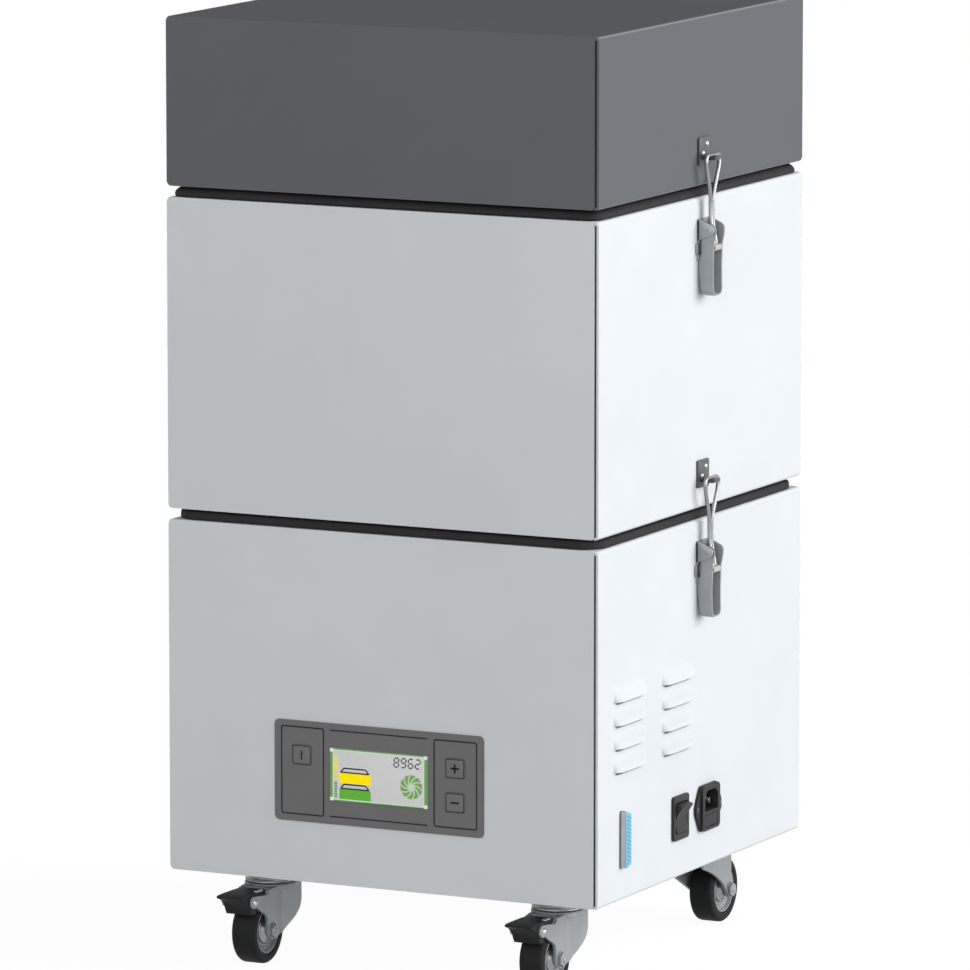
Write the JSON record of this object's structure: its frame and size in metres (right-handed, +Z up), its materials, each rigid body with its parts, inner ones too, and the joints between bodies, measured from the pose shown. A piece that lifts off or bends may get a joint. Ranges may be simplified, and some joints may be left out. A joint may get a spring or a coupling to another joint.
{
  "type": "portable air filter",
  "caption": "Portable extraction filter cabinet: lid with hose socket, filter module and blower base joined by toggle latches, on braked swivel castors.",
  "frame": {"origin": "on the floor, below the middle of the cabinet's footprint", "axes": "+Z up, -Y towards the front with the control panel, +X towards the side with the mains inlet and switch"},
  "size_m": [0.3788, 0.38, 0.7022],
  "materials": {
    "slate_paint": "satin powder coat",
    "light_paint": "satin powder coat",
    "black_rubber": "matt",
    "tyre": "matt",
    "rim_plastic": "matt, moulded",
    "black_plastic": "fine matt",
    "pedal_plastic": "fine matt",
    "panel_grey": "matt film",
    "display_film": "satin film",
    "blower_steel": "zinc plated",
    "latch_steel": "zinc plated",
    "castor_steel": "zinc plated",
    "nickel_wire": "bright nickel plated",
    "connector_shell": "tinned, satin",
    "motor_casting": "as cast",
    "filter_card": "resin-bound card",
    "filter_fleece": "white fleece"
  },
  "bodies": {
    "cabinet": {"base_floor": "light_paint", "base_front": "light_paint", "base_shell": "light_paint", "blower_motor": "motor_casting", "blower_plate": "blower_steel", "blower_scroll": "blower_steel", "castor_head_front_left": "castor_steel", "castor_head_front_right": "castor_steel", "castor_head_rear_left": "castor_steel", "castor_head_rear_right": "castor_steel", "catch_plate_lower_left": "latch_steel", "catch_plate_lower_right": "latch_steel", "catch_plate_upper_left": "latch_steel", "catch_plate_upper_right": "latch_steel", "control_panel": "panel_grey", "display_window": "display_film", "filter_box_front": "light_paint", "filter_box_shell": "light_paint", "filter_cassette": "filter_card", "hose_socket": "black_plastic", "latch_bracket_lower_left": "latch_steel", "latch_bracket_lower_right": "latch_steel", "latch_bracket_upper_left": "latch_steel", "latch_bracket_upper_right": "latch_steel", "lid_front": "slate_paint", "lid_shell": "slate_paint", "lower_seal": "black_rubber", "mains_inlet": "black_plastic", "prefilter_mat": "filter_fleece", "signal_connector": "connector_shell", "switch_frame": "black_plastic", "upper_seal": "black_rubber"},
    "impeller": {"impeller": "black_plastic"},
    "power_key": {"power_button": "panel_grey"},
    "plus_key": {"plus_button": "panel_grey"},
    "minus_key": {"minus_button": "panel_grey"},
    "rocker": {"switch_rocker": "black_plastic"},
    "fuse_holder": {"fuse_drawer": "black_plastic"},
    "lever_upper_left": {"latch_lever_upper_left": "latch_steel"},
    "bail_upper_left": {"latch_bail_upper_left": "nickel_wire"},
    "lever_upper_right": {"latch_lever_upper_right": "latch_steel"},
    "bail_upper_right": {"latch_bail_upper_right": "nickel_wire"},
    "lever_lower_left": {"latch_lever_lower_left": "latch_steel"},
    "bail_lower_left": {"latch_bail_lower_left": "nickel_wire"},
    "lever_lower_right": {"latch_lever_lower_right": "latch_steel"},
    "bail_lower_right": {"latch_bail_lower_right": "nickel_wire"},
    "fork_front_left": {"castor_fork_front_left": "castor_steel"},
    "wheel_front_left": {"castor_tyre_front_left": "tyre", "castor_rim_front_left": "rim_plastic"},
    "fork_front_right": {"castor_fork_front_right": "castor_steel"},
    "wheel_front_right": {"castor_tyre_front_right": "tyre", "castor_rim_front_right": "rim_plastic"},
    "fork_rear_left": {"castor_fork_rear_left": "castor_steel"},
    "wheel_rear_left": {"castor_tyre_rear_left": "tyre", "castor_rim_rear_left": "rim_plastic"},
    "fork_rear_right": {"castor_fork_rear_right": "castor_steel"},
    "wheel_rear_right": {"castor_tyre_rear_right": "tyre", "castor_rim_rear_right": "rim_plastic"},
    "pedal_front_left": {"brake_pedal_front_left": "pedal_plastic"},
    "pedal_front_right": {"brake_pedal_front_right": "pedal_plastic"}
  },
  "joints": [
    {"name": "impeller_spin", "type": "hinge", "parent": "cabinet", "child": "impeller", "pos_m": [0, 0, 0.28], "axis": [0, 0, 1], "continuous": true},
    {"name": "power_press", "type": "slide", "parent": "cabinet", "child": "power_key", "axis": [0, 1, 0], "range_m": [0, 0.0008], "stiffness_N_per_m": 400},
    {"name": "plus_press", "type": "slide", "parent": "cabinet", "child": "plus_key", "axis": [0, 1, 0], "range_m": [0, 0.0008], "stiffness_N_per_m": 400},
    {"name": "minus_press", "type": "slide", "parent": "cabinet", "child": "minus_key", "axis": [0, 1, 0], "range_m": [0, 0.0008], "stiffness_N_per_m": 400},
    {"name": "rocker_tilt", "type": "hinge", "parent": "cabinet", "child": "rocker", "pos_m": [0.1765, -0.038, 0.1157], "axis": [0, 1, 0], "range_deg": [-10, 10]},
    {"name": "fuse_slide", "type": "slide", "parent": "cabinet", "child": "fuse_holder", "axis": [1, 0, 0], "range_m": [0, 0.018]},
    {"name": "lever_upper_left_swing", "type": "hinge", "parent": "cabinet", "child": "lever_upper_left", "pos_m": [-0.1845, -0.0007, 0.5462], "axis": [0, 1, 0], "range_deg": [0, 130]},
    {"name": "bail_upper_left_swing", "type": "hinge", "parent": "lever_upper_left", "child": "bail_upper_left", "pos_m": [-0.1857, -0.0007, 0.5333], "axis": [0, 1, 0], "range_deg": [-131, 0]},
    {"name": "lever_upper_right_swing", "type": "hinge", "parent": "cabinet", "child": "lever_upper_right", "pos_m": [0.1845, -0.0007, 0.5462], "axis": [0, -1, 0], "range_deg": [0, 130]},
    {"name": "bail_upper_right_swing", "type": "hinge", "parent": "lever_upper_right", "child": "bail_upper_right", "pos_m": [0.1857, -0.0007, 0.5333], "axis": [0, -1, 0], "range_deg": [-131, 0]},
    {"name": "lever_lower_left_swing", "type": "hinge", "parent": "cabinet", "child": "lever_lower_left", "pos_m": [-0.1845, -0.0007, 0.3084], "axis": [0, 1, 0], "range_deg": [0, 130]},
    {"name": "bail_lower_left_swing", "type": "hinge", "parent": "lever_lower_left", "child": "bail_lower_left", "pos_m": [-0.1857, -0.0007, 0.2955], "axis": [0, 1, 0], "range_deg": [-131, 0]},
    {"name": "lever_lower_right_swing", "type": "hinge", "parent": "cabinet", "child": "lever_lower_right", "pos_m": [0.1845, -0.0007, 0.3084], "axis": [0, -1, 0], "range_deg": [0, 130]},
    {"name": "bail_lower_right_swing", "type": "hinge", "parent": "lever_lower_right", "child": "bail_lower_right", "pos_m": [0.1857, -0.0007, 0.2955], "axis": [0, -1, 0], "range_deg": [-131, 0]},
    {"name": "swivel_front_left", "type": "hinge", "parent": "cabinet", "child": "fork_front_left", "pos_m": [-0.1181, -0.1239, 0.056], "axis": [0, 0, 1], "continuous": true},
    {"name": "wheel_front_left_spin", "type": "hinge", "parent": "fork_front_left", "child": "wheel_front_left", "pos_m": [-0.1181, -0.1453, 0.025], "axis": [1, 0, 0], "continuous": true},
    {"name": "brake_front_left", "type": "hinge", "parent": "fork_front_left", "child": "pedal_front_left", "pos_m": [-0.1181, -0.1729, 0.0506], "axis": [1, 0, 0], "range_deg": [0, 10]},
    {"name": "swivel_front_right", "type": "hinge", "parent": "cabinet", "child": "fork_front_right", "pos_m": [0.1181, -0.1239, 0.056], "axis": [0, 0, 1], "continuous": true},
    {"name": "wheel_front_right_spin", "type": "hinge", "parent": "fork_front_right", "child": "wheel_front_right", "pos_m": [0.1181, -0.1453, 0.025], "axis": [1, 0, 0], "continuous": true},
    {"name": "brake_front_right", "type": "hinge", "parent": "fork_front_right", "child": "pedal_front_right", "pos_m": [0.1181, -0.1729, 0.0506], "axis": [1, 0, 0], "range_deg": [0, 10]},
    {"name": "swivel_rear_left", "type": "hinge", "parent": "cabinet", "child": "fork_rear_left", "pos_m": [-0.1181, 0.1239, 0.056], "axis": [0, 0, 1], "continuous": true},
    {"name": "wheel_rear_left_spin", "type": "hinge", "parent": "fork_rear_left", "child": "wheel_rear_left", "pos_m": [-0.1181, 0.1453, 0.025], "axis": [1, 0, 0], "continuous": true},
    {"name": "swivel_rear_right", "type": "hinge", "parent": "cabinet", "child": "fork_rear_right", "pos_m": [0.1181, 0.1239, 0.056], "axis": [0, 0, 1], "continuous": true},
    {"name": "wheel_rear_right_spin", "type": "hinge", "parent": "fork_rear_right", "child": "wheel_rear_right", "pos_m": [0.1181, 0.1453, 0.025], "axis": [1, 0, 0], "continuous": true}
  ],
  "couplings": [
    {"joint": "bail_upper_left_swing", "follows": "lever_upper_left_swing", "ratio": -1},
    {"joint": "bail_upper_right_swing", "follows": "lever_upper_right_swing", "ratio": -1},
    {"joint": "bail_lower_left_swing", "follows": "lever_lower_left_swing", "ratio": -1},
    {"joint": "bail_lower_right_swing", "follows": "lever_lower_right_swing", "ratio": -1}
  ]
}
